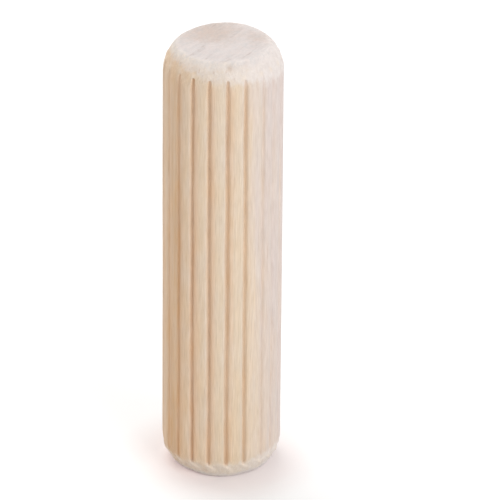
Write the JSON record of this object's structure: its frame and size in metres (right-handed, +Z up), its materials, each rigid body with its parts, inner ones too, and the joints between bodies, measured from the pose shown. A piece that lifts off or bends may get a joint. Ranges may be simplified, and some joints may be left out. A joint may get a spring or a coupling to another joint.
{
  "type": "fluted dowel pin",
  "caption": "Fluted wooden dowel pin with rounded rims and flat sawn ends, glued into matching drilled holes to line up and join two boards.",
  "frame": {"origin": "middle of the lower end face, which the pin stands on", "axes": "+Z up along the pin's axis; -Y points to the front, through the middle of a rib"},
  "size_m": [0.0078, 0.0078, 0.03],
  "materials": {
    "wood": "bare, dry, pale hardwood; rough torn fibre on the rims"
  },
  "bodies": {
    "root": {"dowel_pin": "wood"}
  },
  "joints": []
}
